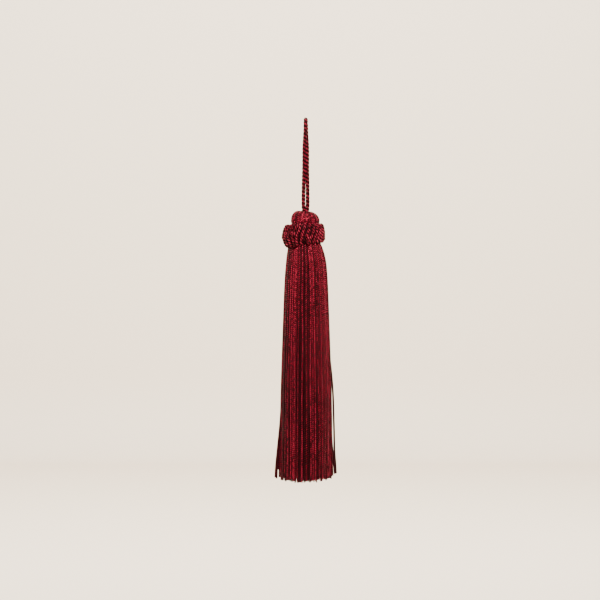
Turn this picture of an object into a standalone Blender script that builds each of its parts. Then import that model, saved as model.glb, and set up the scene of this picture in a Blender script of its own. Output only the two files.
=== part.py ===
"""A tassel that hangs by a cord loop.

Three pieces, as they are made: a bundle of threads folded over at its middle, so that the fold is the round head
and the ends are the skirt; a doubled cord wound round the neck as a ribbed collar; and a twisted cord loop.
The origin is the point inside the top of the loop where a hook carries the tassel, and +Z is up. The front faces -Y.
"""

import math
import random
from collections import namedtuple

import bmesh
import bpy
from mathutils import Vector

MM = 0.001

# Twisted cord of the hanging loop
CORD_RADIUS = 0.8 * MM
CORD_SIDES = 6
CORD_PINCH = 0.42
CORD_LAY = 4.0 * MM
CORD_STEPS_PER_LAY = 10

# Hanging loop: an eye round the hook, then two legs. Each row of a leg is at one depth below the hook: half the
# distance between the legs' centres, and how far the pair has turned from the picture's plane
EYE_RADIUS = 3.125 * MM
EYE_STEPS = 12
LegRow = namedtuple("LegRow", "depth half_gap turn")
LEG_ROWS = (
    LegRow(EYE_RADIUS - CORD_RADIUS, EYE_RADIUS, 86),
    LegRow(5.5 * MM, 2.72 * MM, 84),
    LegRow(8.8 * MM, 1.85 * MM, 75),
    LegRow(11.9 * MM, 1.25 * MM, 56),
    LegRow(15.0 * MM, 0.97 * MM, 44),
    LegRow(20.0 * MM, 0.88 * MM, 36),
    LegRow(26.0 * MM, 0.87 * MM, 30),
    LegRow(30.0 * MM, 0.95 * MM, 8),
    LegRow(35.0 * MM, 1.06 * MM, 0),
    LegRow(41.0 * MM, 1.20 * MM, 0),
    LegRow(44.5 * MM, 1.16 * MM, 0),
    LegRow(47.6 * MM, 0.86 * MM, 0),
)

# The head hangs a little to the left of the hook
HEAD_X = -0.4 * MM

# Folded head, from the dimple that takes the loop, over the dome, to the bound neck and the root of the skirt
HeadRow = namedtuple("HeadRow", "radius height")
HEAD_ROWS = (
    HeadRow(0.0, -48.0 * MM),
    HeadRow(1.95 * MM, -47.95 * MM),
    HeadRow(2.4 * MM, -47.3 * MM),
    HeadRow(3.1 * MM, -46.8 * MM),
    HeadRow(4.4 * MM, -47.0 * MM),
    HeadRow(5.7 * MM, -47.85 * MM),
    HeadRow(6.7 * MM, -49.2 * MM),
    HeadRow(7.2 * MM, -50.8 * MM),
    HeadRow(7.2 * MM, -52.0 * MM),
    HeadRow(6.7 * MM, -53.2 * MM),
    HeadRow(6.1 * MM, -54.6 * MM),
    HeadRow(6.0 * MM, -57.5 * MM),
    HeadRow(6.5 * MM, -60.0 * MM),
    HeadRow(7.6 * MM, -62.5 * MM),
    HeadRow(0.0, -62.5 * MM),
)
HEAD_STEPS = 48
DOME_LOWEST = -53.0 * MM
SHOULDER_TILT = 0.3 * MM
CREASE_DEPTH = 0.75 * MM
CREASE_ANGLE = -94
CREASE_WIDTH = 13
CREASE_LOWEST = -50.6 * MM

# Skirt: its outer radius below the collar, as a quick flare and then a slow one
SKIRT_TOP = -64.5 * MM
SKIRT_END = -185.2 * MM
SKIRT_RADIUS = 8.3 * MM
QUICK_FLARE = 2.6 * MM
QUICK_FLARE_LENGTH = 8.0 * MM
SLOW_FLARE = 2.3 * MM
SLOW_FLARE_LENGTH = 100.0 * MM
SKIRT_DEPTH_SHARE = 0.94
SKIRT_DRIFT = 0.6 * MM

# Strands of the skirt, in rings from the outside in. Reach is a ring's radius as a share of the outermost one's
STRAND_ROOT = -61.4 * MM
STRAND_RADIUS = 0.5 * MM
STRAND_SWELL = 0.55
STRAND_SIDES = 3
CALM_LENGTH = 4.0 * MM
SWAY = 0.22 * MM
END_SPREAD = 1.1 * MM
RingRow = namedtuple("RingRow", "reach count segments")
RING_ROWS = (
    RingRow(1.0, 42, 9),
    RingRow(0.84, 36, 6),
    RingRow(0.68, 29, 5),
    RingRow(0.52, 21, 5),
    RingRow(0.36, 14, 5),
    RingRow(0.19, 7, 5),
)

# Outermost strands that stray: where round the skirt, how far down it they leave it and reach their middle bow,
# the bow there, and how far out their ends stand
StrayRow = namedtuple("StrayRow", "angle start bow end")
BOW_LENGTH = 0.4
STRAY_ROWS = (
    StrayRow(180, 0.70, 0.2 * MM, 2.9 * MM),
    StrayRow(187, 0.76, 0.0, 2.2 * MM),
    StrayRow(0, 0.5, 1.2 * MM, 2.4 * MM),
    StrayRow(-9, 0.80, 0.0, 1.9 * MM),
    StrayRow(85, 0.74, 0.3 * MM, 2.0 * MM),
)

# Collar: a doubled cord knotted round and round the neck, one of each pair lying deeper. It is thickest and longest
# at the left, where its end is tucked in, so its size changes with the cosine of the angle from the right
WINDS = 25
CORDS_PER_WIND = 2
COLLAR_SECTION_STEPS = 20
COLLAR_INSIDE = 6.5 * MM
COLLAR_OUTSIDE = 11.35 * MM
COLLAR_OUTSIDE_SHIFT = -0.8 * MM
COLLAR_HEIGHT = -58.7 * MM
COLLAR_HEIGHT_SHIFT = 0.75 * MM
COLLAR_HALF_LENGTH = 5.75 * MM
COLLAR_HALF_LENGTH_SHIFT = -0.5 * MM
COLLAR_SQUARENESS = 2.1
WIND_SLANT = 0.85
WIND_GROOVE = 0.8 * MM
SUNK_CORD = 0.42 * MM
WIND_UNEVENNESS = 0.16 * MM
CLEARANCE = 0.35 * MM

# Where cords of the collar pass under others: the place's angle and how far it reaches to each side, in degrees,
# its height, and how deep it dips. Above it the cords lie half a cord further round
CrossingRow = namedtuple("CrossingRow", "angle reach height depth")
CROSSING_WIDTH = 0.95 * MM
CROSSING_ROWS = (
    CrossingRow(-143, 40, -58.3 * MM, 0.75 * MM),
    CrossingRow(-84, 15, -61.2 * MM, 0.7 * MM),
    CrossingRow(-30, 17, -55.6 * MM, 0.4 * MM),
    CrossingRow(18, 20, -60.4 * MM, 0.6 * MM),
    CrossingRow(72, 28, -58.0 * MM, 0.75 * MM),
    CrossingRow(128, 24, -60.0 * MM, 0.65 * MM),
)

# Slits between winds that don't touch: angle, highest point and depth
SlitRow = namedtuple("SlitRow", "angle top depth")
SLIT_REACH = 2.1
SLIT_ROWS = (
    SlitRow(-105, -58.6 * MM, 0.9 * MM),
    SlitRow(-72, -54.0 * MM, 0.35 * MM),
    SlitRow(47, -57.5 * MM, 0.6 * MM),
)

# Seed of the strands' small differences
SEED = 11

CRIMSON = (0.165, 0.008, 0.018, 1.0)
CRIMSON_CORD = (0.135, 0.007, 0.014, 1.0)


def clear_scene():
    for old in list(bpy.data.objects):
        bpy.data.objects.remove(old)


def collection(name):
    made = bpy.data.collections.new(name)
    bpy.context.scene.collection.children.link(made)
    return made


def yarn_material(name, colour, roughness):
    made = bpy.data.materials.new(name)
    made.use_nodes = True
    shader = made.node_tree.nodes["Principled BSDF"]
    shader.inputs["Base Color"].default_value = colour
    shader.inputs["Roughness"].default_value = roughness
    shader.inputs["Metallic"].default_value = 0.0
    shader.inputs["Sheen Weight"].default_value = 0.4
    made.diffuse_color = colour
    return made


def add_object(name, data, where, material=None):
    made = bpy.data.objects.new(name, data)
    where.objects.link(made)
    if material:
        data.materials.append(material)
    return made


def make_helper(made):
    made.hide_render = True
    made.display_type = "WIRE"
    return made


def smooth_step(share):
    share = min(max(share, 0.0), 1.0)
    return share * share * (3 - 2 * share)


def row_at(rows, key, place):
    """The row between rows at that place, on a smooth curve through every column."""
    places = [getattr(row, key) for row in rows]
    index = max(i for i in range(len(rows) - 1) if i == 0 or places[i] <= place)
    before, after = rows[max(index - 1, 0)], rows[min(index + 2, len(rows) - 1)]
    low, high = rows[index], rows[index + 1]
    span = getattr(high, key) - getattr(low, key)
    t = min(max((place - getattr(low, key)) / span, 0.0), 1.0)
    slopes = []
    for first, last in ((before, high), (low, after)):
        run = getattr(last, key) - getattr(first, key)
        slopes.append([(b - a) / run * span for a, b in zip(first, last)])
    weights = (2 * t**3 - 3 * t**2 + 1, t**3 - 2 * t**2 + t, 3 * t**2 - 2 * t**3, t**3 - t**2)
    return type(low)(*(
        a * weights[0] + slope_a * weights[1] + b * weights[2] + slope_b * weights[3]
        for a, slope_a, b, slope_b in zip(low, slopes[0], high, slopes[1])
    ))


def section_curve(name, points, where):
    """A closed flat outline that a curve object is swept with."""
    data = bpy.data.curves.new(name, "CURVE")
    data.dimensions = "2D"
    spline = data.splines.new("POLY")
    spline.points.add(len(points) - 1)
    for slot, (x, y) in zip(spline.points, points):
        slot.co = (x, y, 0, 1)
    spline.use_cyclic_u = True
    return make_helper(add_object(name, data, where))


def swept_curve(name, section, where, material=None):
    data = bpy.data.curves.new(name, "CURVE")
    data.dimensions = "3D"
    data.twist_mode = "MINIMUM"
    data.bevel_mode = "OBJECT"
    data.bevel_object = section
    data.use_fill_caps = True
    return add_object(name, data, where, material)


def add_spline(data, points, radii=None, tilts=None):
    spline = data.splines.new("POLY")
    spline.points.add(len(points) - 1)
    for index, (slot, point) in enumerate(zip(spline.points, points)):
        slot.co = (*point, 1)
        slot.radius = radii[index] if radii else 1.0
        slot.tilt = tilts[index] if tilts else 0.0


def as_mesh_object(source, where):
    """The evaluated object as a mesh of its own, with what only touches joined."""
    bpy.context.view_layer.update()
    graph = bpy.context.evaluated_depsgraph_get()
    mesh = bpy.data.meshes.new_from_object(source.evaluated_get(graph))
    shape = bmesh.new()
    shape.from_mesh(mesh)
    bmesh.ops.remove_doubles(shape, verts=shape.verts, dist=1e-7)
    bmesh.ops.recalc_face_normals(shape, faces=shape.faces)
    shape.to_mesh(mesh)
    shape.free()
    name, place = source.name, source.matrix_world.copy()
    bpy.data.objects.remove(source)
    made = add_object(name, mesh, where)
    made.matrix_world = place
    return made


def loop_route():
    """Evenly spaced points up the left leg, round the eye and down the right leg."""
    step = CORD_LAY / CORD_STEPS_PER_LAY
    top, foot = LEG_ROWS[0].depth, LEG_ROWS[-1].depth
    rough = 4 * round((foot - top) / step)
    left, right = [], []
    for index in range(rough + 1):
        depth = foot + (top - foot) * index / rough
        row = row_at(LEG_ROWS, "depth", depth)
        turn = math.radians(row.turn)
        away = Vector((math.cos(turn), math.sin(turn), 0)) * row.half_gap
        middle = Vector((HEAD_X * smooth_step(depth / foot), 0, -depth))
        left.append(middle - away)
        right.append(middle + away)
    turn = math.radians(LEG_ROWS[0].turn)
    side = Vector((math.cos(turn), math.sin(turn), 0))
    eye = []
    for index in range(1, EYE_STEPS):
        angle = math.pi * index / EYE_STEPS
        eye.append(Vector((0, 0, -top)) + EYE_RADIUS * (Vector((0, 0, math.sin(angle))) - side * math.cos(angle)))
    return evenly(left + eye + right[::-1], step)


def evenly(points, step):
    """The line through points, with a point at each whole step of about that length."""
    along = [0.0]
    for before, after in zip(points, points[1:]):
        along.append(along[-1] + (after - before).length)
    count = round(along[-1] / step)
    made, index = [], 0
    for wanted in (along[-1] * number / count for number in range(count + 1)):
        while index < len(points) - 2 and along[index + 1] < wanted:
            index += 1
        share = (wanted - along[index]) / (along[index + 1] - along[index])
        made.append(points[index].lerp(points[index + 1], share))
    return made


def make_loop(parts, guides, material):
    # Two plies side by side: widest across both, pinched between them
    outline = []
    for index in range(CORD_SIDES):
        angle = math.tau * index / CORD_SIDES
        radius = CORD_RADIUS * (1 - CORD_PINCH * (1 - abs(math.cos(angle))))
        outline.append((radius * math.cos(angle), radius * math.sin(angle)))
    loop = swept_curve("hanging_loop", section_curve("cord_section", outline, guides), parts, material)
    route = loop_route()
    turn = math.tau / CORD_STEPS_PER_LAY
    add_spline(loop.data, route, tilts=[-turn * index for index in range(len(route))])
    loop = as_mesh_object(loop, parts)
    loop.data.shade_smooth()
    return loop


def shape_dome(point):
    """Moves a point of the turned head so that its left shoulder is higher and a crease runs down its front."""
    height = point.z
    if height < DOME_LOWEST:
        return point
    radius = math.hypot(point.x, point.y)
    angle = math.degrees(math.atan2(point.y, point.x))
    share = smooth_step((height - DOME_LOWEST) / (HEAD_ROWS[3].height - DOME_LOWEST))
    outside = smooth_step((radius - HEAD_ROWS[1].radius) / (HEAD_ROWS[4].radius - HEAD_ROWS[1].radius))
    lift = -SHOULDER_TILT * point.x / max(radius, MM) * share * outside
    off = (angle - CREASE_ANGLE + 180) % 360 - 180
    crease = math.exp(-((off / CREASE_WIDTH) ** 2)) * outside
    crease *= smooth_step((height - CREASE_LOWEST) / (HEAD_ROWS[4].height - CREASE_LOWEST))
    inward = 1 - crease * CREASE_DEPTH / max(radius, MM)
    return Vector((point.x * inward, point.y * inward, height + lift - crease * CREASE_DEPTH * share))


def make_head(parts, material):
    """The folded head as a turned profile. The strands join it later."""
    mesh = bpy.data.meshes.new("head_and_skirt")
    profile = [(row.radius, 0, row.height) for row in HEAD_ROWS]
    mesh.from_pydata(profile, [(i, i + 1) for i in range(len(profile) - 1)], [])
    head = add_object("head_and_skirt", mesh, parts)
    screw = head.modifiers.new("turn", "SCREW")
    screw.axis = "Z"
    screw.steps = HEAD_STEPS
    screw.render_steps = HEAD_STEPS
    screw.use_merge_vertices = True
    screw.merge_threshold = 0.00001
    head = as_mesh_object(head, parts)
    head.data.materials.append(material)
    for vertex in head.data.vertices:
        vertex.co = shape_dome(vertex.co) + Vector((HEAD_X, 0, 0))
    head.data.shade_smooth()
    return head


def skirt_radius(height):
    """Outer radius of the skirt at that height."""
    down = SKIRT_TOP - height
    quick = QUICK_FLARE * (1 - math.exp(-down / QUICK_FLARE_LENGTH))
    return SKIRT_RADIUS + quick + SLOW_FLARE * smooth_step(down / SLOW_FLARE_LENGTH)


def stray_of(ring, angle, pitch):
    """The stray row of this strand, if it is the outermost one nearest to a stray's angle."""
    for row in STRAY_ROWS:
        off = (angle - row.angle + 180) % 360 - 180
        if ring == 0 and abs(off) <= pitch / 2:
            return row
    return None


def strand_line(ring, row, index, chance):
    """Centre points and widths of one strand, from inside the neck to its cut end."""
    pitch = 360 / row.count
    angle = pitch * (index + 0.5 * (ring % 2)) + chance.uniform(-0.12, 0.12) * pitch
    stray = stray_of(ring, angle, pitch)
    end = SKIRT_END + chance.uniform(-END_SPREAD, END_SPREAD)
    phase, waves = chance.uniform(0, math.tau), chance.uniform(0.8, 1.6)
    points, widths = [], []
    for number in range(row.segments + 1):
        share = (number / row.segments) ** 1.25
        height = STRAND_ROOT + (end - STRAND_ROOT) * share
        swell = 1 + STRAND_SWELL * smooth_step(share)
        radius = (skirt_radius(height) - STRAND_RADIUS * swell) * row.reach
        loose = smooth_step((SKIRT_TOP - CALM_LENGTH - height) / (10 * CALM_LENGTH))
        radius += SWAY * loose * math.sin(phase + waves * math.tau * share)
        if stray:
            bow = math.sin(math.pi * min(max((share - stray.start) / BOW_LENGTH, 0.0), 1.0))
            reach = smooth_step((share - max(stray.start, 0.7)) / (1 - max(stray.start, 0.7)))
            radius += stray.bow * bow + stray.end * reach
        turn = math.radians(angle)
        middle = HEAD_X + SKIRT_DRIFT * smooth_step((SKIRT_TOP - height) / QUICK_FLARE_LENGTH)
        points.append((middle + radius * math.cos(turn), radius * math.sin(turn) * SKIRT_DEPTH_SHARE, height))
        widths.append(swell)
    return points, widths


def make_strands(guides):
    """All strands of the skirt in one helper mesh."""
    outline = []
    for index in range(STRAND_SIDES):
        angle = math.tau * index / STRAND_SIDES
        outline.append((STRAND_RADIUS * math.cos(angle), STRAND_RADIUS * math.sin(angle)))
    strands = swept_curve("strands", section_curve("strand_section", outline, guides), guides)
    chance = random.Random(SEED)
    for ring, row in enumerate(RING_ROWS):
        for index in range(row.count):
            points, widths = strand_line(ring, row, index, chance)
            add_spline(strands.data, points, radii=widths)
    return make_helper(as_mesh_object(strands, guides))


def join_strands(head, strands):
    union = head.modifiers.new("roots of the skirt", "BOOLEAN")
    union.operation = "UNION"
    union.solver = "EXACT"
    union.object = strands


def neck_radius(height):
    """Outer radius of the head's turned profile at that height, or of the skirt below it."""
    outside = HEAD_ROWS[8:-1]
    if height <= outside[-1].height:
        return skirt_radius(height)
    for above, below in zip(outside, outside[1:]):
        if below.height <= height <= above.height:
            share = (above.height - height) / (above.height - below.height)
            return above.radius + share * (below.radius - above.radius)
    return outside[0].radius


def degrees_off(turn, angle):
    """Degrees from that angle to a turn in radians, from -180 to 180."""
    return (math.degrees(turn) - angle + 180) % 360 - 180


def crossings(turn, height):
    """How deep the collar dips there, and how far its cords lie round from where they would, in radians."""
    dip, offset = 0.0, 0.0
    for row in CROSSING_ROWS:
        inside = smooth_step(2 - 2 * abs(degrees_off(turn, row.angle)) / row.reach)
        above = (height - row.height) / CROSSING_WIDTH
        dip += row.depth * inside * math.exp(-above * above)
        offset += inside * smooth_step(0.5 + above) * math.pi / (WINDS * CORDS_PER_WIND)
    return dip, offset


def slit(turn, height):
    """How deep a slit between two winds cuts in there."""
    deepest = 0.0
    for row in SLIT_ROWS:
        if abs(degrees_off(turn, row.angle)) < SLIT_REACH:
            deepest = max(deepest, row.depth * smooth_step((row.top - height) / CROSSING_WIDTH))
    return deepest


def collar_point(around, across, groove, between):
    """A point of the collar: around is its angle from the right, across its angle round the section, in radians.
    Groove is how deep it lies below the collar's outside, and between says that it lies between two cords."""
    shift = math.cos(around)
    outside = COLLAR_OUTSIDE + COLLAR_OUTSIDE_SHIFT * shift
    middle, half = (outside + COLLAR_INSIDE) / 2, (outside - COLLAR_INSIDE) / 2
    length = COLLAR_HALF_LENGTH + COLLAR_HALF_LENGTH_SHIFT * shift
    power = 2 / COLLAR_SQUARENESS
    outward, upward = math.cos(across), math.sin(across)
    height = COLLAR_HEIGHT + COLLAR_HEIGHT_SHIFT * shift + length * math.copysign(abs(upward) ** power, upward)
    radius = middle + half * math.copysign(abs(outward) ** power, outward)
    turn = around + WIND_SLANT * math.pi / WINDS * upward
    dip, offset = crossings(turn, height)
    if between:
        groove += slit(turn, height)
    face = min(max(outward + 0.5, 0.0), 1.0)
    radius -= (groove * max(outward, 0.3) + dip * max(outward, 0.0)) * face
    height -= groove * upward * face
    return max(radius, neck_radius(height) + CLEARANCE), turn + offset * face, height


def make_collar(parts, material):
    cords = WINDS * CORDS_PER_WIND
    bpy.ops.mesh.primitive_torus_add(
        major_segments=2 * cords, minor_segments=COLLAR_SECTION_STEPS, major_radius=1.0, minor_radius=0.25
    )
    collar = bpy.context.object
    collar.name = collar.data.name = "collar"
    chance = random.Random(SEED)
    uneven = [chance.uniform(0, WIND_UNEVENNESS) for _ in range(2 * cords)]
    for vertex in collar.data.vertices:
        around = math.atan2(vertex.co.y, vertex.co.x)
        across = math.atan2(vertex.co.z, math.hypot(vertex.co.x, vertex.co.y) - 1.0)
        number = round(around / math.tau * 2 * cords) % (2 * cords)
        grooves = (uneven[number], WIND_GROOVE, SUNK_CORD + uneven[number], WIND_GROOVE)
        radius, turn, height = collar_point(around, across, grooves[number % 4], number % 2 == 1)
        vertex.co = (HEAD_X + radius * math.cos(turn), radius * math.sin(turn), height)
    for owner in list(collar.users_collection):
        owner.objects.unlink(collar)
    parts.objects.link(collar)
    collar.data.materials.append(material)
    collar.data.shade_smooth()
    return collar


def main():
    clear_scene()
    parts, guides = collection("tassel"), collection("guides")
    thread = yarn_material("thread", CRIMSON, 0.42)
    collar_cord = yarn_material("collar_cord", CRIMSON_CORD, 0.48)
    loop_cord = yarn_material("loop_cord", CRIMSON_CORD, 0.48)
    make_loop(parts, guides, loop_cord)
    make_collar(parts, collar_cord)
    join_strands(make_head(parts, thread), make_strands(guides))


main()
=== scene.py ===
"""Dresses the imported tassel: twisted cords, folded head, knotted collar and a skirt of satin threads."""

import math
import random
from collections import namedtuple

import bmesh
import bpy
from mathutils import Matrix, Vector


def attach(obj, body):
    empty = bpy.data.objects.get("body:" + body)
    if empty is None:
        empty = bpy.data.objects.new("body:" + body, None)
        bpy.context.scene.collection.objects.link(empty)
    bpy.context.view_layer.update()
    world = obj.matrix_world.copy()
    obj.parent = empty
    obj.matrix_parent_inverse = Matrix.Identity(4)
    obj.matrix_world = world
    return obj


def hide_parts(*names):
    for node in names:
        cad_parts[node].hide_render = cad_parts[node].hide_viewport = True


bl_info = {
    "name": "Hanging Tassel",
    "version": (1, 0, 0),
    "blender": (4, 5, 0),
    "location": "3D View > Sidebar > Tassel",
    "description": "Makes a tassel's cord loop, head, collar and skirt on its packed solids",
    "category": "Object",
}

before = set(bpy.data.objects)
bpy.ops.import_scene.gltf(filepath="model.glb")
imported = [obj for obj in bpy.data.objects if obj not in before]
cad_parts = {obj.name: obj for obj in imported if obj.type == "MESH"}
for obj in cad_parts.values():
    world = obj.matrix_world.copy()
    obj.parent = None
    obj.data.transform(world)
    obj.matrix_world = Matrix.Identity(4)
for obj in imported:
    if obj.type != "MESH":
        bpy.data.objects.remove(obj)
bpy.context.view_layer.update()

MM = 0.001
ROOT = "root"

# Cords. The loop's is thicker than its solid, which has the first radius, because the edges of thin parts
# fade before a bright wall. A step is the distance between sections, and a pinch is how deep the grooves
# between the plies are. Cords start up to so many turns apart, and the yarns of a ply have their own lay
CORD_RADIUS = 0.8 * MM
LOOP_RADIUS = 1.10 * MM
LOOP_STEP = 0.33 * MM
LOOP_SIDES = 16
LOOP_PINCH = 0.28
WIND_RADIUS = 0.70 * MM
WIND_STEP = 0.30 * MM
WIND_SIDES = 10
WIND_PINCH = 0.42
STRAND_TURNS = 3.0
YARN_LAY_SHARE = 0.5

# Route of the hanging loop, close to the solid's: half the distance between the legs' centres, and their
# turn in degrees, by depth
EYE_RADIUS = 3.125 * MM
EYE_STEPS = 12
LEG_STEPS = 60
LegRow = namedtuple("LegRow", "depth half_gap turn")
LEG_ROWS = (
    LegRow(EYE_RADIUS - CORD_RADIUS, EYE_RADIUS, 86),
    LegRow(5.5 * MM, 2.72 * MM, 84),
    LegRow(8.8 * MM, 1.85 * MM, 75),
    LegRow(11.9 * MM, 1.25 * MM, 56),
    LegRow(15.0 * MM, 0.97 * MM, 34),
    LegRow(20.0 * MM, 0.92 * MM, 26),
    LegRow(26.0 * MM, 0.92 * MM, 20),
    LegRow(30.0 * MM, 0.97 * MM, 8),
    LegRow(33.0 * MM, 1.02 * MM, 0),
    LegRow(41.0 * MM, 1.12 * MM, 0),
    LegRow(43.8 * MM, 1.07 * MM, 0),
    LegRow(45.4 * MM, 0.92 * MM, 0),
    LegRow(47.6 * MM, 0.85 * MM, 0),
)
LOOP_FOOT_X = -0.15 * MM

# Outside of the folded head, from the dimple to the neck
HEAD_X = -0.4 * MM
HeadRow = namedtuple("HeadRow", "radius height")
HEAD_ROWS = (
    HeadRow(0.9 * MM, -48.3 * MM),
    HeadRow(1.75 * MM, -47.5 * MM),
    HeadRow(3.1 * MM, -46.75 * MM),
    HeadRow(4.4 * MM, -46.95 * MM),
    HeadRow(5.75 * MM, -47.75 * MM),
    HeadRow(6.88 * MM, -49.15 * MM),
    HeadRow(7.4 * MM, -50.8 * MM),
    HeadRow(7.4 * MM, -52.2 * MM),
    HeadRow(6.95 * MM, -53.6 * MM),
    HeadRow(6.2 * MM, -55.0 * MM),
)
DOME_LOWEST = -53.0 * MM
DOME_RISE = 6.2 * MM
DIMPLE_RADIUS = 1.9 * MM
DIMPLE_RIM = 2.5 * MM
SHOULDER_TILT = 0.42 * MM
DOME_SHIFT = 0.2 * MM
NECK_LOWEST = -57.0 * MM
CREASE_DEPTH = 0.75 * MM
CREASE_ANGLE = -89
CREASE_WIDTH = 13
CREASE_LOWEST = -50.6 * MM
CREASE_RISE = 3.6 * MM

# Threads of the head, in two layers: how far round a layer is turned, in threads, and how deep it is sunk.
# Each thread differs a little in its place, wave, slant, depth in millimetres and brightness. Near the
# dimple it is lowered by a share of its depth
LayerRow = namedtuple("LayerRow", "shift threads sink")
LAYER_ROWS = (
    LayerRow(0.0, 66, 0.42 * MM),
    LayerRow(0.5, 60, 0.80 * MM),
)
HEAD_SECTIONS = 18
HEAD_STEP = 0.75 * MM
HEAD_SIDES = 6
HEAD_INNERMOST = 0.7 * MM
HEAD_CROWDING = 0.25
HEAD_SWAY = (0.02, 0.09)
HEAD_SWAY_RATE = 5
HEAD_SLANT = (-0.08, 0.16)
HEAD_DEPTHS = (-0.14, 0.14)
HEAD_SHADES = (0.15, 0.85)
HEAD_DROP = 0.8
HEAD_DROP_HASTE = 1.4

# Body of threads under the head's surface, down to the skirt's root
CORE_TOP = -49.2 * MM
CORE_FOOT = -62.0 * MM
CORE_FOOT_RADIUS = 5.2 * MM
CORE_SINK = 1.0 * MM
CORE_DROP = 0.7 * MM
CORE_ROWS = 24
CORE_SIDES = 48
CORE_MERGE = 0.00001

# Collar: its ring, as in the solids, and the cords wound on it, in degrees round the ring's section. The
# lifts are in millimetres, and every second cord is sunk and painted darker, as shade
WINDS = 25
CORDS_PER_WIND = 2
COLLAR_INSIDE = 6.5 * MM
COLLAR_OUTSIDE = 11.35 * MM
COLLAR_OUTSIDE_SHIFT = -0.8 * MM
COLLAR_HEIGHT = -58.7 * MM
COLLAR_HEIGHT_SHIFT = 0.75 * MM
COLLAR_HALF_LENGTH = 5.75 * MM
COLLAR_HALF_LENGTH_SHIFT = -0.5 * MM
COLLAR_SQUARENESS = 1.65
WIND_SLANT = 1.0
WIND_END = 150
WIND_ARC = 9
LEAST_ARCS = 6
WIND_CROWDING = 0.12
WIND_LIFTS = (-0.12, 0.10)
WIND_SHADES = (0.5, 1.0)
SUNK_CORD = 1.0 * MM
SUNK_SHADE = 0.85

# Cords under the outer ones, which show only between them, painted dark as shade
UNDER_CORDS = 42
UNDER_DEPTH = 1.25 * MM
UNDER_END = 120
UNDER_LEAN = 0.16
UNDER_CROWDING = 0.2
UNDER_SHADES = (0.0, 0.15)

# Where cords of the collar tuck under others: angle and reach in degrees, height, and how many cords'
# widths more than elsewhere the pieces above and below lean to the right as they rise. Cords are in two
# pieces where the tuck's share is at least the least one
TUCK_HASTE = 1.6
TUCK_LEAST = 0.3
TUCK_LIMIT = 0.95
TuckRow = namedtuple("TuckRow", "angle reach height lean_above lean_below")
TUCK_ROWS = (
    TuckRow(-146, 44, -58.3 * MM, 1.3, -1.1),
    TuckRow(-82, 14, -61.0 * MM, 0.3, -2.6),
    TuckRow(20, 22, -60.4 * MM, 0.8, -2.0),
    TuckRow(74, 26, -58.0 * MM, 1.0, -1.4),
    TuckRow(128, 22, -60.0 * MM, 0.8, -1.8),
)

# What the two pieces of a tucked cord do near the tuck, by degrees round the section above it: the upper
# one sinks downwards, and the lower one moves aside, bulges and then sinks upwards
FadeRow = namedtuple("FadeRow", "start length")
OVER_SINKS = FadeRow(-12, 24)
UNDER_SINKS = FadeRow(2, 16)
UNDER_ASIDE = FadeRow(-22, 30)
TUCK_OVERLAP = 16
OVER_SINK = 1.25 * MM
UNDER_SINK = 1.6 * MM
ASIDE_CORDS = 0.9
BULGE = 0.40 * MM
BULGE_PLACE = -16
BULGE_WIDTH = 22

# Slits between cords that are pushed apart: angle, how far in degrees, highest point
SlitRow = namedtuple("SlitRow", "angle push top")
SLIT_EDGE = 1.5
SLIT_WIDTH = 5.0
SLIT_FADE = 1.2 * MM
SLIT_ROWS = (
    SlitRow(-106, 2.4, -57.9 * MM),
    SlitRow(-71, 1.5, -50.0 * MM),
    SlitRow(47, 2.0, -57.0 * MM),
    SlitRow(165, 1.8, -57.0 * MM),
)

# Skirt: its outline, as in the solids
SKIRT_TOP = -64.5 * MM
SKIRT_END = -185.2 * MM
SKIRT_RADIUS = 8.3 * MM
QUICK_FLARE = 2.6 * MM
QUICK_FLARE_LENGTH = 8.0 * MM
SLOW_FLARE = 2.3 * MM
SLOW_FLARE_LENGTH = 100.0 * MM
SKIRT_DEPTH_SHARE = 0.94
SKIRT_DRIFT = 0.6 * MM
END_FLARE = 0.35 * MM
END_FLARE_START = 0.88
END_DIP = 0.1 * MM
END_RISE = 1.2 * MM
END_TILT = 0.4 * MM
THREAD_ROOT = -57.0 * MM
ROOT_RADIUS = 6.0 * MM

# Threads of the skirt: locks of neighbours wave alike, and each thread a little by itself, more and more
# between two depths. Waves are counted round the skirt, down it and from thread to thread. Threads also
# differ in place, depth in millimetres, thickness and brightness, and those with odd numbers are brighter:
# the darker even ones are partly painted shade between the threads
LOOSE_FROM = 3.0 * MM
LOOSE_TO = 45.0 * MM
LOCKS_ROUND = 5.2
LOCKS_DOWN = 14.0
LOCK_SWING = 2.6
SINGLE_PER_THREAD = 1.37
SINGLE_DOWN = 2.2
SINGLE_SPREAD = 9.0
SINGLE_SWING = 1.1
DEPTH_PER_THREAD = 2.11
DEPTH_DOWN = 2.6
DEPTH_SWING = 0.8
SEED_SHIFT = 3.7
THREAD_CROWDING = 0.22
THREAD_DEPTHS = 0.12
THREAD_THICKNESSES = 0.14
END_SWELL = 0.12
END_SWELL_START = 0.9
SHADE_MIDDLE = 0.3
SHADE_SPREAD = 0.3
ODD_SHADE = 0.4

# Rings of the skirt, from the outside in: share of the outermost radius, threads, points along each thread,
# sides of its section, and how bright it is painted: the rings within are darker, as painted shade
RingRow = namedtuple("RingRow", "name reach threads points sides shade")
RING_ROWS = (
    RingRow("skirt_outer", 1.0, 74, 24, 6, 1.0),
    RingRow("skirt_second", 0.935, 70, 20, 5, 0.4),
    RingRow("skirt_third", 0.83, 60, 12, 5, 0.05),
    RingRow("skirt_fourth", 0.70, 50, 10, 4, 0.1),
    RingRow("skirt_fifth", 0.54, 40, 10, 4, 0.1),
    RingRow("skirt_inner", 0.34, 26, 10, 4, 0.1),
    RingRow("skirt_core", 0.14, 10, 10, 4, 0.1),
)
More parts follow.
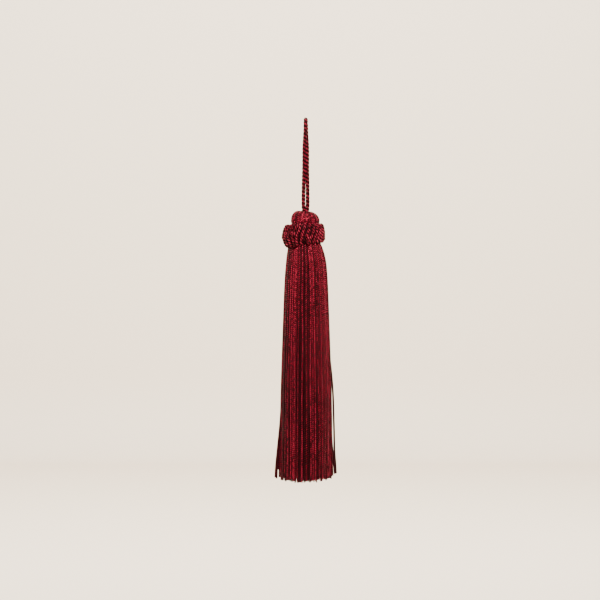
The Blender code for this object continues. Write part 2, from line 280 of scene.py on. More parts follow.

# Threads that stray from the skirt: where round it in degrees, how far down it they leave, a bow on the
# way, how far out the end reaches, how much higher than the skirt's it is, and how bright it is painted; the
# dark ones on the right are painted shade. On its right side, between shares of its length, the skirt is
# hollow where a thread bows out
StrayRow = namedtuple("StrayRow", "angle start bow end drop shade")
STRAY_SECTIONS = 24
STRAY_STEP = 2.5 * MM
STRAY_SIDES = 6
STRAY_SINK = 0.1 * MM
BOW_LENGTH = 0.4
REACH_START = 0.70
REACH_HASTE = 0.85
HOLLOW = 0.85 * MM
HOLLOW_SIDE = (0.93, 1.0)
HOLLOW_TOP = (0.45, 0.62)
HOLLOW_FOOT = (0.86, 0.95)
STRAY_THICKNESS = 1.6
STRAY_ROWS = (
    StrayRow(180, 0.70, 0.2 * MM, 2.7 * MM, 1.1 * MM, 0.5),
    StrayRow(183, 0.71, 0.2 * MM, 2.1 * MM, 0.6 * MM, 0.25),
    StrayRow(176, 0.72, 0.2 * MM, 1.45 * MM, 5.0 * MM, 0.4),
    StrayRow(181, 0.74, 0.0, 0.7 * MM, 1.2 * MM, 0.5),
    StrayRow(0, 0.50, 1.15 * MM, 2.3 * MM, 3.1 * MM, 0.05),
    StrayRow(-8, 0.82, 0.0, 1.8 * MM, 3.0 * MM, 0.1),
    StrayRow(-15, 0.84, 0.0, 0.9 * MM, 2.2 * MM, 0.4),
    StrayRow(85, 0.74, 0.3 * MM, 2.0 * MM, 0.6 * MM, 0.4),
)

# Satin yarn. Its plies turn more or less often than the lay says, by the strand, and start at different
# turns. Its noises are single fibres, slubs, which are short uneven places, and wide patches; they darken the
# yarn at random and set where its painted highlights fall. Its dark and its painted highlight are shares of
# its own colour: the dark is painted shade in the grooves between plies, on threads within or under others
# and lower down, and random tone elsewhere. Ranges say where each starts and is full, and the most is how
# much of it there is then
LAY_LEAST = 0.88
LAY_SPREAD = 0.24
LAY_STARTS = 5.0
CREST_RANGE = (-0.5, 0.6)
FIBRES_ROUND = 2.2
FIBRES_ALONG = 500.0
FIBRE_SCALE = 1.2
FIBRE_STARTS = 30.0
SLUBS_ALONG = 440.0
SLUB_SCALE = 2.2
SLUB_THREADS = 40.0
SLUB_STARTS = 90.0
SLUB_SHARE = 0.8
CORD_SLUBS = 0.5
THREAD_SLUBS = 0.6
SATIN_INPUTS = {
    "Metallic": 0.0,
    "IOR": 1.5,
    "Specular IOR Level": 0.2,
    "Specular Tint": (1.0, 0.25, 0.32, 1.0),
    "Sheen Weight": 0.04,
    "Sheen Roughness": 0.4,
    "Sheen Tint": (1.0, 0.3, 0.35, 1.0),
}
DARK_SHARE = 0.04
# Painted highlight on the crests of the plies: its colour as shares of the yarn's, and where and how strongly
# it shows
HIGHLIGHT_SHARES = (4.8, 16.0, 11.5)
HIGHLIGHT_LEVEL = 0.48
HIGHLIGHT_PER_YARN = 0.04
HIGHLIGHT_PER_SHADE = 0.10
HIGHLIGHT_RANGE = (0.50, 0.64)
HIGHLIGHT_MOST = 0.95
SPECK_RANGE = (0.52, 0.38)
SPECK_MOST = 0.9
# Darkening by the shade attribute: partly random tone, partly painted shade of threads within or under others
TONE_AND_SHADE_RANGE = (0.75, 0.0)
TONE_AND_SHADE_MOST = 0.92
PATCH_SCALE = 60.0
PATCH_RANGE = (0.40, 0.65)
PATCH_MOST = 0.12
# Painted shade: the skirt is darker towards its bottom
LOWER_SHADE_RANGE = (-60.0 * MM, -190.0 * MM)
LOWER_SHADE_MOST = 0.15
# Painted shade on the sides of skirt threads, where their neighbours would shade them
SIDE_RANGE = (0.95, 0.3)
SIDE_MOST = 0.85
BUMP_DEPTH = 0.22 * MM
BUMP_OF_FIBRES = 0.5
BUMP_OF_YARNS = 0.15
THREAD_ROUGHNESS = 0.30
CORD_ROUGHNESS = 0.33
GROOVE_ROUGHNESS = 0.25
FIBRE_ROUGHNESS = 0.12

# Picture: width of the view at the tassel, and where its middle lies from the hook
VIEW_WIDTH = 310.0 * MM
VIEW_CENTRE = (-3.0 * MM, -92.5 * MM)
CAMERA_DISTANCE = 1.2
SENSOR_WIDTH = 36
NEAREST_SEEN = 0.01
FARTHEST_SEEN = 30

# Backdrop: floor and wall, and the bend between them
WALL_DISTANCE = 3.0
WALL_TOP = 3.0
FLOOR_HEIGHT = -0.38
FLOOR_FRONT = -3.0
BACKDROP_HALF_WIDTH = 4.0
BEND_RADIUS = 0.15
BEND_STEPS = 8
BACKDROP_COLOUR = (0.80, 0.700, 0.572, 1.0)

# Lamps: soft squares in front of the tassel, and one that lights the wall alone
LampRow = namedtuple("LampRow", "name place target size power colour")
LAMP_ROWS = (
    LampRow("key", (0.06, -0.56, 0.34), (0, 0, -0.09), 0.10, 15.5, (1.0, 0.97, 0.93)),
    LampRow("fill", (-1.1, -1.0, 0.1), (0, 0, -0.11), 0.9, 2.0, (1.0, 0.98, 0.96)),
    LampRow("wall_wash", (0.0, 0.6, 1.8), (0, 3.4, 0.8), 1.5, 330.0, (1.0, 0.965, 0.91)),
)
WORLD_COLOUR = (1.0, 0.975, 0.94, 1.0)
WORLD_STRENGTH = 0.12


class TasselProperties(bpy.types.PropertyGroup):
    thread_radius: bpy.props.FloatProperty(
        name="Thread radius", description="Half the thickness of one skirt thread",
        default=0.36 * MM, min=0.1 * MM, max=1.0 * MM, precision=5, unit="LENGTH",
    )
    thread_lay: bpy.props.FloatProperty(
        name="Thread lay", description="Length in which a thread's plies turn once",
        default=2.1 * MM, min=0.5 * MM, max=10 * MM, precision=5, unit="LENGTH",
    )
    cord_lay: bpy.props.FloatProperty(
        name="Cord lay", description="Length in which a cord's plies turn once",
        default=4.0 * MM, min=1.0 * MM, max=12 * MM, precision=5, unit="LENGTH",
    )
    wind_lay: bpy.props.FloatProperty(
        name="Wind lay", description="Length in which the plies of the collar's cord turn once",
        default=2.9 * MM, min=1.0 * MM, max=12 * MM, precision=5, unit="LENGTH",
    )
    sway: bpy.props.FloatProperty(
        name="Sway", description="How far the locks of the skirt wave to each side at their ends",
        default=0.6 * MM, min=0.0, max=5 * MM, precision=5, unit="LENGTH",
    )
    raggedness: bpy.props.FloatProperty(
        name="Raggedness", description="How much the cut ends differ in height",
        default=1.1 * MM, min=0.0, max=5 * MM, precision=5, unit="LENGTH",
    )
    thread_colour: bpy.props.FloatVectorProperty(
        name="Thread colour", description="Colour of the satin thread",
        default=(0.150, 0.0021, 0.0074), min=0.0, max=1.0, size=3, subtype="COLOR",
    )
    cord_colour: bpy.props.FloatVectorProperty(
        name="Cord colour", description="Colour of the twisted cords",
        default=(0.078, 0.0012, 0.0040), min=0.0, max=1.0, size=3, subtype="COLOR",
    )
    seed: bpy.props.IntProperty(
        name="Seed", description="Changes the small differences between threads", default=11,
    )


class Wires:
    """Adds nodes to one node tree and joins them."""

    def __init__(self, tree):
        self.tree = tree

    def add(self, kind, settings=None, inputs=None):
        node = self.tree.nodes.new(kind)
        for name, value in (settings or {}).items():
            setattr(node, name, value)
        for key, value in (inputs or {}).items():
            self.join(value, self._socket(node.inputs, key))
        return node

    def _socket(self, sockets, key):
        if isinstance(key, int):
            return sockets[key]
        return next(socket for socket in sockets if socket.name == key and socket.enabled)

    def join(self, value, socket):
        if isinstance(value, Value):
            self.tree.links.new(value.socket, socket)
        elif isinstance(value, bpy.types.NodeSocket):
            self.tree.links.new(value, socket)
        else:
            socket.default_value = value

    def out(self, kind, output=0, settings=None, inputs=None):
        """One output of a new node, as a value."""
        node = self.add(kind, settings, inputs)
        return Value(self, self._socket(node.outputs, output))

    def maths(self, operation, *values):
        return self.out("ShaderNodeMath", 0, {"operation": operation}, dict(enumerate(values)))

    def noise(self, vector, scale, detail=2.0):
        inputs = {"Vector": vector, "Scale": scale, "Detail": detail}
        return self.out("ShaderNodeTexNoise", 0, {"noise_dimensions": "3D"}, inputs)

    def vector(self, x, y, z):
        return self.out("ShaderNodeCombineXYZ", 0, None, {0: x, 1: y, 2: z})

    def split(self, vector):
        """The three numbers of a vector."""
        node = self.add("ShaderNodeSeparateXYZ", None, {0: vector})
        return [Value(self, socket) for socket in node.outputs]

    def smooth(self, value, low, high):
        """From 0 at low to 1 at high, with a soft start and end."""
        settings = {"interpolation_type": "SMOOTHSTEP"}
        return self.out("ShaderNodeMapRange", 0, settings, {0: value, 1: low, 2: high})

    def mix(self, share, first, second):
        """Two colours mixed, with that share of the second."""
        return self.out("ShaderNodeMix", 2, {"data_type": "RGBA"}, {0: share, 6: first, 7: second})


class Value:
    """A number in a node tree that takes part in Python sums."""

    def __init__(self, wires, socket):
        self.wires = wires
        self.socket = socket

    def __add__(self, other):
        return self.wires.maths("ADD", self, other)

    def __sub__(self, other):
        return self.wires.maths("SUBTRACT", self, other)

    def __rsub__(self, other):
        return self.wires.maths("SUBTRACT", other, self)

    def __mul__(self, other):
        return self.wires.maths("MULTIPLY", self, other)

    def __truediv__(self, other):
        return self.wires.maths("DIVIDE", self, other)

    def __pow__(self, other):
        return self.wires.maths("POWER", self, other)

    def __neg__(self):
        return self.wires.maths("MULTIPLY", self, -1.0)

    __radd__ = __add__
    __rmul__ = __mul__

    def sin(self):
        return self.wires.maths("SINE", self)

    def cos(self):
        return self.wires.maths("COSINE", self)

    def exp(self):
        return self.wires.maths("EXPONENT", self)

    def __abs__(self):
        return self.wires.maths("ABSOLUTE", self)

    def above(self, low):
        return self.wires.maths("MAXIMUM", self, low)


def placed(name, data):
    """A new object of the scene."""
    made = bpy.data.objects.new(name, data)
    bpy.context.scene.collection.objects.link(made)
    return made


def level_step(degrees):
    """A step of length one in that direction round the tassel."""
    turn = math.radians(degrees)
    return Vector((math.cos(turn), math.sin(turn), 0))


def smooth_step(share):
    share = min(max(share, 0.0), 1.0)
    return share * share * (3 - 2 * share)


def row_at(rows, key, place):
    """The row between rows at that place, on a smooth curve through every column."""
    places = [getattr(row, key) for row in rows]
    index = max(i for i in range(len(rows) - 1) if i == 0 or places[i] <= place)
    before, after = rows[max(index - 1, 0)], rows[min(index + 2, len(rows) - 1)]
    low, high = rows[index], rows[index + 1]
    span = getattr(high, key) - getattr(low, key)
    t = min(max((place - getattr(low, key)) / span, 0.0), 1.0)
    slopes = []
    for first, last in ((before, high), (low, after)):
        run = getattr(last, key) - getattr(first, key)
        slopes.append([(b - a) / run * span for a, b in zip(first, last)])
    weights = (2 * t**3 - 3 * t**2 + 1, t**3 - 2 * t**2 + t, 3 * t**2 - 2 * t**3, t**3 - t**2)
    return type(low)(*(
        a * weights[0] + slope_a * weights[1] + b * weights[2] + slope_b * weights[3]
        for a, slope_a, b, slope_b in zip(low, slopes[0], high, slopes[1])
    ))


def lines_object(name, lines, **columns):
    """A mesh of open lines, with a number for each line in each column."""
    points, edges, numbers = [], [], {column: [] for column in columns}
    for index, line in enumerate(lines):
        first = len(points)
        points += [tuple(point) for point in line]
        edges += [(first + i, first + i + 1) for i in range(len(line) - 1)]
        for column, values in columns.items():
            numbers[column] += [values[index]] * len(line)
    mesh = bpy.data.meshes.new(name)
    mesh.from_pydata(points, edges, [])
    for column, values in numbers.items():
        mesh.attributes.new(column, "FLOAT", "POINT").data.foreach_set("value", values)
    return placed(name, mesh)


def new_tree(name, sockets):
    """An empty tree of geometry nodes with those inputs. Gives the tree, its wires and the inputs by name."""
    tree = bpy.data.node_groups.new(name, "GeometryNodeTree")
    tree.interface.new_socket("Geometry", in_out="INPUT", socket_type="NodeSocketGeometry")
    tree.interface.new_socket("Geometry", in_out="OUTPUT", socket_type="NodeSocketGeometry")
    for label, kind, default in sockets:
        socket = tree.interface.new_socket(label, in_out="INPUT", socket_type=kind)
        if default is not None:
            socket.default_value = default
    wires = Wires(tree)
    start = wires.add("NodeGroupInput")
    given = {socket.name: Value(wires, socket) for socket in start.outputs if socket.name}
    return tree, wires, given


def named(wires, name):
    settings = {"data_type": "FLOAT"}
    return wires.out("GeometryNodeInputNamedAttribute", "Attribute", settings, {"Name": name})


def chance_of(wires, number, seed):
    """A number between -1 and 1 for each number."""
    inputs = {"Min": -1.0, "Max": 1.0, "ID": number, "Seed": seed}
    return wires.out("FunctionNodeRandomValue", "Value", {"data_type": "FLOAT"}, inputs)


def store(wires, geometry, name, value, kind="FLOAT"):
    settings = {"data_type": kind, "domain": "POINT"}
    inputs = {"Geometry": geometry, "Name": name, "Value": value}
    return wires.out("GeometryNodeStoreNamedAttribute", 0, settings, inputs)


def sweep(wires, curve, radius, sides, pinch, lay, material):
    """Sweeps a section along curves, with the place on the thread kept in the lay attribute. A pinched
    section has two plies and turns once in each lay."""
    length = wires.out("GeometryNodeSplineParameter", "Length")
    curve = store(wires, curve, "along", length)
    if pinch:
        tilt = (named(wires, "strand") * STRAND_TURNS - length / lay) * math.tau
        curve = wires.out("GeometryNodeSetCurveTilt", 0, None, {"Curve": curve, "Tilt": tilt})
    inputs = {"Resolution": sides, "Radius": radius}
    section = wires.out("GeometryNodeCurvePrimitiveCircle", 0, {"mode": "RADIUS"}, inputs)
    angle = wires.out("GeometryNodeSplineParameter", "Factor") * math.tau
    section = store(wires, section, "across_cos", angle.cos())
    section = store(wires, section, "across_sin", angle.sin())
    cos, sin = named(wires, "across_cos"), named(wires, "across_sin")
    narrow = 1.0 - pinch + pinch * abs(cos)
    place = wires.vector(radius * narrow * cos, radius * narrow * sin, 0.0)
    section = wires.out("GeometryNodeSetPosition", 0, None, {"Geometry": section, "Position": place})
    inputs = {"Curve": curve, "Profile Curve": section, "Fill Caps": True}
    mesh = wires.out("GeometryNodeCurveToMesh", 0, None, inputs)
    mesh = store(wires, mesh, "lay", wires.vector(cos, sin, named(wires, "along")), "FLOAT_VECTOR")
    mesh = wires.out("GeometryNodeSetShadeSmooth", 0, None, {0: mesh, 2: True})
    mesh = wires.out("GeometryNodeRealizeInstances", 0, None, {0: mesh})
    mesh = wires.out("GeometryNodeSetMaterial", 0, None, {"Geometry": mesh, "Material": material})
    wires.add("NodeGroupOutput", None, {0: mesh})


def cord_tree(name, sides, pinch):
    """Geometry nodes that lay a two-ply cord along each line of a mesh."""
    tree, wires, given = new_tree(name, (
        ("Radius", "NodeSocketFloat", CORD_RADIUS),
        ("Lay", "NodeSocketFloat", 4.0 * MM),
        ("Step", "NodeSocketFloat", 0.4 * MM),
        ("Material", "NodeSocketMaterial", None),
    ))
    curve = wires.out("GeometryNodeMeshToCurve", 0, None, {"Mesh": given["Geometry"]})
    curve = wires.out("GeometryNodeCurveSplineType", 0, {"spline_type": "CATMULL_ROM"}, {"Curve": curve})
    inputs = {"Curve": curve, "Length": given["Step"]}
    curve = wires.out("GeometryNodeResampleCurve", 0, {"mode": "LENGTH"}, inputs)
    sweep(wires, curve, given["Radius"], sides, pinch, given["Lay"], given["Material"])
    return tree


def skirt_tree(name, sides):
    """Geometry nodes that hang a ring of threads, waving in locks, from the neck."""
    tree, wires, given = new_tree(name, (
        ("Threads", "NodeSocketInt", 80),
        ("Points", "NodeSocketInt", 16),
        ("Reach", "NodeSocketFloat", 1.0),
        ("Radius", "NodeSocketFloat", 0.43 * MM),
        ("Lay", "NodeSocketFloat", 2.3 * MM),
        ("Sway", "NodeSocketFloat", 1.2 * MM),
        ("Raggedness", "NodeSocketFloat", 1.1 * MM),
        ("Seed", "NodeSocketInt", 1),
        ("Shade", "NodeSocketFloat", 1.0),
        ("Material", "NodeSocketMaterial", None),
    ))
    seed = given["Seed"]
    index = wires.out("GeometryNodeInputIndex")
    roots = wires.out("GeometryNodePoints", 0, None, {"Count": given["Threads"]})
    roots = store(wires, roots, "number", index)
    line = wires.out("GeometryNodeCurvePrimitiveLine", 0, None, {"End": (0.0, 0.0, -1.0)})
    inputs = {"Curve": line, "Count": given["Points"]}
    line = wires.out("GeometryNodeResampleCurve", 0, {"mode": "COUNT"}, inputs)
    curve = wires.out("GeometryNodeInstanceOnPoints", 0, None, {"Points": roots, "Instance": line})
    curve = wires.out("GeometryNodeRealizeInstances", 0, None, {0: curve})

    number = named(wires, "number")
    chance = [chance_of(wires, number, seed + 10 * step) for step in range(5)]
    share = wires.out("GeometryNodeSplineParameter", "Factor")
    angle = (number + 0.5 + chance[0] * THREAD_CROWDING) / given["Threads"] * math.tau
    turn_x, turn_y = angle.cos(), angle.sin()
    end = SKIRT_END - END_DIP + END_RISE * turn_x * turn_x + END_TILT * turn_x
    end = end + chance[1] * given["Raggedness"]
    height = THREAD_ROOT + (end - THREAD_ROOT) * share
    down = (SKIRT_TOP - height).above(0.0)
    full = SKIRT_RADIUS + QUICK_FLARE * (1.0 - (-down / QUICK_FLARE_LENGTH).exp())
    full = full + SLOW_FLARE * wires.smooth(down, 0.0, SLOW_FLARE_LENGTH)
    full = full + END_FLARE * wires.smooth(share, END_FLARE_START, 1.0)
    neck = wires.smooth(height, THREAD_ROOT, SKIRT_TOP)
    full = ROOT_RADIUS + (full - ROOT_RADIUS) * neck
    loose = wires.smooth(down, LOOSE_FROM, LOOSE_TO)

    # Locks: neighbours wave alike, so that gaps open between groups of threads
    shift = seed * SEED_SHIFT
    lock, single, depth = (
        wires.noise(wires.vector(*place), 1.0, 1.0) - 0.5
        for place in (
            (turn_x * LOCKS_ROUND + shift, turn_y * LOCKS_ROUND, down * LOCKS_DOWN),
            (number * SINGLE_PER_THREAD + shift, share * SINGLE_DOWN, chance[2] * SINGLE_SPREAD),
            (number * DEPTH_PER_THREAD, share * DEPTH_DOWN + shift, 4.0),
        )
    )
    radius = (full - given["Radius"]) * given["Reach"] + depth * given["Sway"] * loose * DEPTH_SWING
    hollow = wires.smooth(turn_x, *HOLLOW_SIDE) * wires.smooth(share, *HOLLOW_TOP)
    hollow = hollow * (1.0 - wires.smooth(share, *HOLLOW_FOOT))
    radius = radius - HOLLOW * hollow
    radius = radius + chance[3] * THREAD_DEPTHS * MM
    swing = lock * given["Sway"] * LOCK_SWING * loose + single * given["Sway"] * SINGLE_SWING * loose
    turned = angle + swing / (radius + MM)
    middle = HEAD_X + SKIRT_DRIFT * wires.smooth(down, 0.0, QUICK_FLARE_LENGTH)
    place = wires.vector(middle + radius * turned.cos(), radius * turned.sin() * SKIRT_DEPTH_SHARE, height)
    curve = wires.out("GeometryNodeSetPosition", 0, None, {"Geometry": curve, "Position": place})
    thick = 1.0 + chance[4] * THREAD_THICKNESSES + END_SWELL * wires.smooth(share, END_SWELL_START, 1.0)
    curve = wires.out("GeometryNodeSetCurveRadius", 0, None, {"Curve": curve, "Radius": thick})
    # Brightness differs at random; even threads are darker, partly as painted shade between threads, and the
    # rings within are painted darker as shade
    odd = wires.maths("MODULO", number, 2.0)
    shade = chance[2] * SHADE_SPREAD + SHADE_MIDDLE + odd * ODD_SHADE
    curve = store(wires, curve, "strand", chance[2] * 0.5 + 0.5)
    curve = store(wires, curve, "shade", shade * given["Shade"])
    sweep(wires, curve, given["Radius"], sides, 0.0, given["Lay"], given["Material"])
    return tree


def grown(source, tree, values, name):
    """Runs a tree on an object and keeps what it makes as a plain mesh object of that name."""
    modifier = source.modifiers.new("nodes", "NODES")
    modifier.node_group = tree
    keys = {item.name: item.identifier for item in tree.interface.items_tree if item.in_out == "INPUT"}
    for label, value in values.items():
        modifier[keys[label]] = value
    bpy.context.view_layer.update()
    graph = bpy.context.evaluated_depsgraph_get()
    result = source.evaluated_get(graph)
    mesh = bpy.data.meshes.new_from_object(result, preserve_all_data_layers=True, depsgraph=graph)
    mesh.name = name
    bpy.data.objects.remove(source)
    for spare in ("along", "across_cos", "across_sin", "number"):
        if spare in mesh.attributes:
            mesh.attributes.remove(mesh.attributes[spare])
    return placed(name, mesh)


def settle(piece, node):
    """Puts a finished piece in the place of its solid."""
    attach(piece, ROOT)
    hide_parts(node)


def side_shade(wires, x, y, height):
    """How much its neighbours shade a thread of the skirt: most where its face doesn't look outwards."""
    look_x, look_y, _ = wires.split(wires.out("ShaderNodeTexCoord", "Normal"))
    outward = (x * look_x + y * look_y) / (x * x + y * y + MM * MM) ** 0.5
    return wires.smooth(outward, *SIDE_RANGE) * wires.smooth(height, COLLAR_HEIGHT, SKIRT_TOP) * SIDE_MOST


def satin(name, colour, lay, turned_mesh, roughness):
    """Satin yarn of two plies turned round each other, each of fine fibres, with a painted highlight on the
    ply crests and painted shade in the grooves. On a cord the mesh turns with the plies, and on a thread the
    pattern does."""
    material = bpy.data.materials.new(name)
    material.use_nodes = True
    wires = Wires(material.node_tree)
    shader = material.node_tree.nodes["Principled BSDF"]
    place = wires.out("ShaderNodeAttribute", "Vector", {"attribute_name": "lay"})
    cos, sin, along = wires.split(place)
    strand = wires.out("ShaderNodeAttribute", "Fac", {"attribute_name": "strand"})
    shade = wires.out("ShaderNodeAttribute", "Fac", {"attribute_name": "shade"})
    turn = (along / lay * (LAY_LEAST + LAY_SPREAD * strand) + strand * LAY_STARTS) * (2 * math.tau)
    # One at the crest of each ply and minus one in the grooves between them
    across, slanted = cos * cos - sin * sin, 2.0 * sin * cos
    if turned_mesh:
        ply = across
        yarn = (slanted * 2.0 + turn).sin()
    else:
        ply = across * turn.cos() + slanted * turn.sin()
        yarn = ply
    crest = wires.smooth(ply, *CREST_RANGE)
    place = wires.vector(cos * FIBRES_ROUND, sin * FIBRES_ROUND, along * FIBRES_ALONG + strand * FIBRE_STARTS)
    fibre = wires.noise(place, FIBRE_SCALE)
    place = wires.vector(strand * SLUB_THREADS, along * SLUBS_ALONG + strand * SLUB_STARTS, 0.0)
    slub = wires.noise(place, SLUB_SCALE, 1.0)
    where = wires.out("ShaderNodeTexCoord", "Object")
    x, y, height = wires.split(where)
    patch = wires.noise(where, PATCH_SCALE)
    dark = (*(channel * DARK_SHARE for channel in colour), 1.0)
    painted_highlight = (*(channel * share for channel, share in zip(colour, HIGHLIGHT_SHARES)), 1.0)
    speck = slub * SLUB_SHARE + fibre * (1.0 - SLUB_SHARE)
    uneven = CORD_SLUBS if turned_mesh else THREAD_SLUBS
    level = HIGHLIGHT_LEVEL + (speck - 0.5) * uneven + yarn * HIGHLIGHT_PER_YARN + shade * HIGHLIGHT_PER_SHADE
    # Darkenings: speck noise at random; wide patches at random, and painted shade lower down; the shade
    # attribute, partly random tone and partly painted shade of threads within or under others; on the skirt,
    # painted shade on the sides of threads
    darkenings = [
        wires.smooth(speck, *SPECK_RANGE) * SPECK_MOST * uneven,
        wires.smooth(patch, *PATCH_RANGE) * PATCH_MOST + wires.smooth(height, *LOWER_SHADE_RANGE) * LOWER_SHADE_MOST,
        wires.smooth(shade, *TONE_AND_SHADE_RANGE) * TONE_AND_SHADE_MOST,
    ]
    if not turned_mesh:
        darkenings.append(side_shade(wires, x, y, height))
    # Painted shade in the grooves between the plies, and a painted highlight on their crests where the speck
    # noise lets it through
    base = wires.mix(crest, dark, (*colour, 1.0))
    base = wires.mix(wires.smooth(level, *HIGHLIGHT_RANGE) * crest * HIGHLIGHT_MOST, base, painted_highlight)
    for darkening in darkenings:
        base = wires.mix(darkening, base, dark)
    wires.join(base, shader.inputs["Base Color"])
    rough = roughness + GROOVE_ROUGHNESS * (1.0 - crest) + FIBRE_ROUGHNESS * fibre
    wires.join(rough, shader.inputs["Roughness"])
    bump = crest + fibre * BUMP_OF_FIBRES + yarn * BUMP_OF_YARNS
    inputs = {"Strength": 1.0, "Distance": BUMP_DEPTH, "Height": bump}
    wires.join(wires.out("ShaderNodeBump", 0, None, inputs), shader.inputs["Normal"])
    for label, value in SATIN_INPUTS.items():
        shader.inputs[label].default_value = value
    return material


def material_once(name, *values):
    return bpy.data.materials.get(name) or satin(name, *values)


def thread_material(sizes):
    colour = tuple(sizes.thread_colour)
    return material_once("satin_thread", colour, sizes.thread_lay, False, THREAD_ROUGHNESS)


def cord_material(name, sizes, lay):
    return material_once(name, tuple(sizes.cord_colour), YARN_LAY_SHARE * lay, True, CORD_ROUGHNESS)


def loop_route():
    """Points up the left leg, round the eye and down the right leg."""
    top, foot = LEG_ROWS[0].depth, LEG_ROWS[-1].depth
    left, right = [], []
    for index in range(LEG_STEPS + 1):
        depth = foot + (top - foot) * index / LEG_STEPS
        row = row_at(LEG_ROWS, "depth", depth)
        away = level_step(row.turn) * row.half_gap
        middle = Vector((LOOP_FOOT_X * smooth_step(depth / foot), 0, -depth))
        left.append(middle - away)
        right.append(middle + away)
    side = level_step(LEG_ROWS[0].turn)
    eye = []
    for index in range(1, EYE_STEPS):
        angle = math.pi * index / EYE_STEPS
        from_middle = Vector((0, 0, math.sin(angle))) - side * math.cos(angle)
        eye.append(Vector((0, 0, -top)) + EYE_RADIUS * from_middle)
    return left + eye + right[::-1]


class TASSEL_OT_loop(bpy.types.Operator):
    """Lays the two-ply hanging cord along its loop"""

    bl_idname = "tassel.loop"
    bl_label = "Hanging loop"

    def execute(self, context):
        sizes = context.scene.tassel
        route = loop_route()
        length = sum((b - a).length for a, b in zip(route, route[1:]))
        source = lines_object("loop_line", [route], strand=[0.5], shade=[0.5])
        values = {
            "Radius": LOOP_RADIUS, "Lay": sizes.cord_lay, "Step": LOOP_STEP,
            "Material": cord_material("two_ply_cord", sizes, sizes.cord_lay),
        }
        piece = grown(source, cord_tree("two_ply_loop", LOOP_SIDES, LOOP_PINCH), values, "loop_cord")
        settle(piece, "hanging_loop")
        return {"FINISHED"}


def shape_dome(point):
    """Moves a point of the turned head: its left shoulder is higher and a crease runs down its front."""
    height = point.z
    rise = smooth_step((height - DOME_LOWEST) / DOME_RISE)
    shift = DOME_SHIFT * (1 - rise) * smooth_step((height - NECK_LOWEST) / (DOME_LOWEST - NECK_LOWEST))
    if height < DOME_LOWEST:
        return point + Vector((shift, 0, 0))
    radius = math.hypot(point.x, point.y)
    angle = math.degrees(math.atan2(point.y, point.x))
    outside = smooth_step((radius - DIMPLE_RADIUS) / DIMPLE_RIM)
    lift = -SHOULDER_TILT * point.x / max(radius, MM) * rise * outside
    off = (angle - CREASE_ANGLE + 180) % 360 - 180
    crease = math.exp(-((off / CREASE_WIDTH) ** 2)) * outside
    crease *= smooth_step((height - CREASE_LOWEST) / CREASE_RISE)
    inward = 1 - crease * CREASE_DEPTH / max(radius, MM)
    height += lift - crease * CREASE_DEPTH * rise
    return Vector((point.x * inward + shift, point.y * inward, height))


def head_profile(share):
    """Radius and height of the head at that share of the way from the dimple to the neck."""
    place = share * (len(HEAD_ROWS) - 1)
    index = min(int(place), len(HEAD_ROWS) - 2)
    t = place - index
    rows = [HEAD_ROWS[min(max(index + step, 0), len(HEAD_ROWS) - 1)] for step in (-1, 0, 1, 2)]
    weights = (
        -0.5 * t + t**2 - 0.5 * t**3, 1 - 2.5 * t**2 + 1.5 * t**3,
        0.5 * t + 2 * t**2 - 1.5 * t**3, -0.5 * t**2 + 0.5 * t**3,
    )
    radius = sum(weight * row.radius for weight, row in zip(weights, rows))
    return radius, sum(weight * row.height for weight, row in zip(weights, rows))


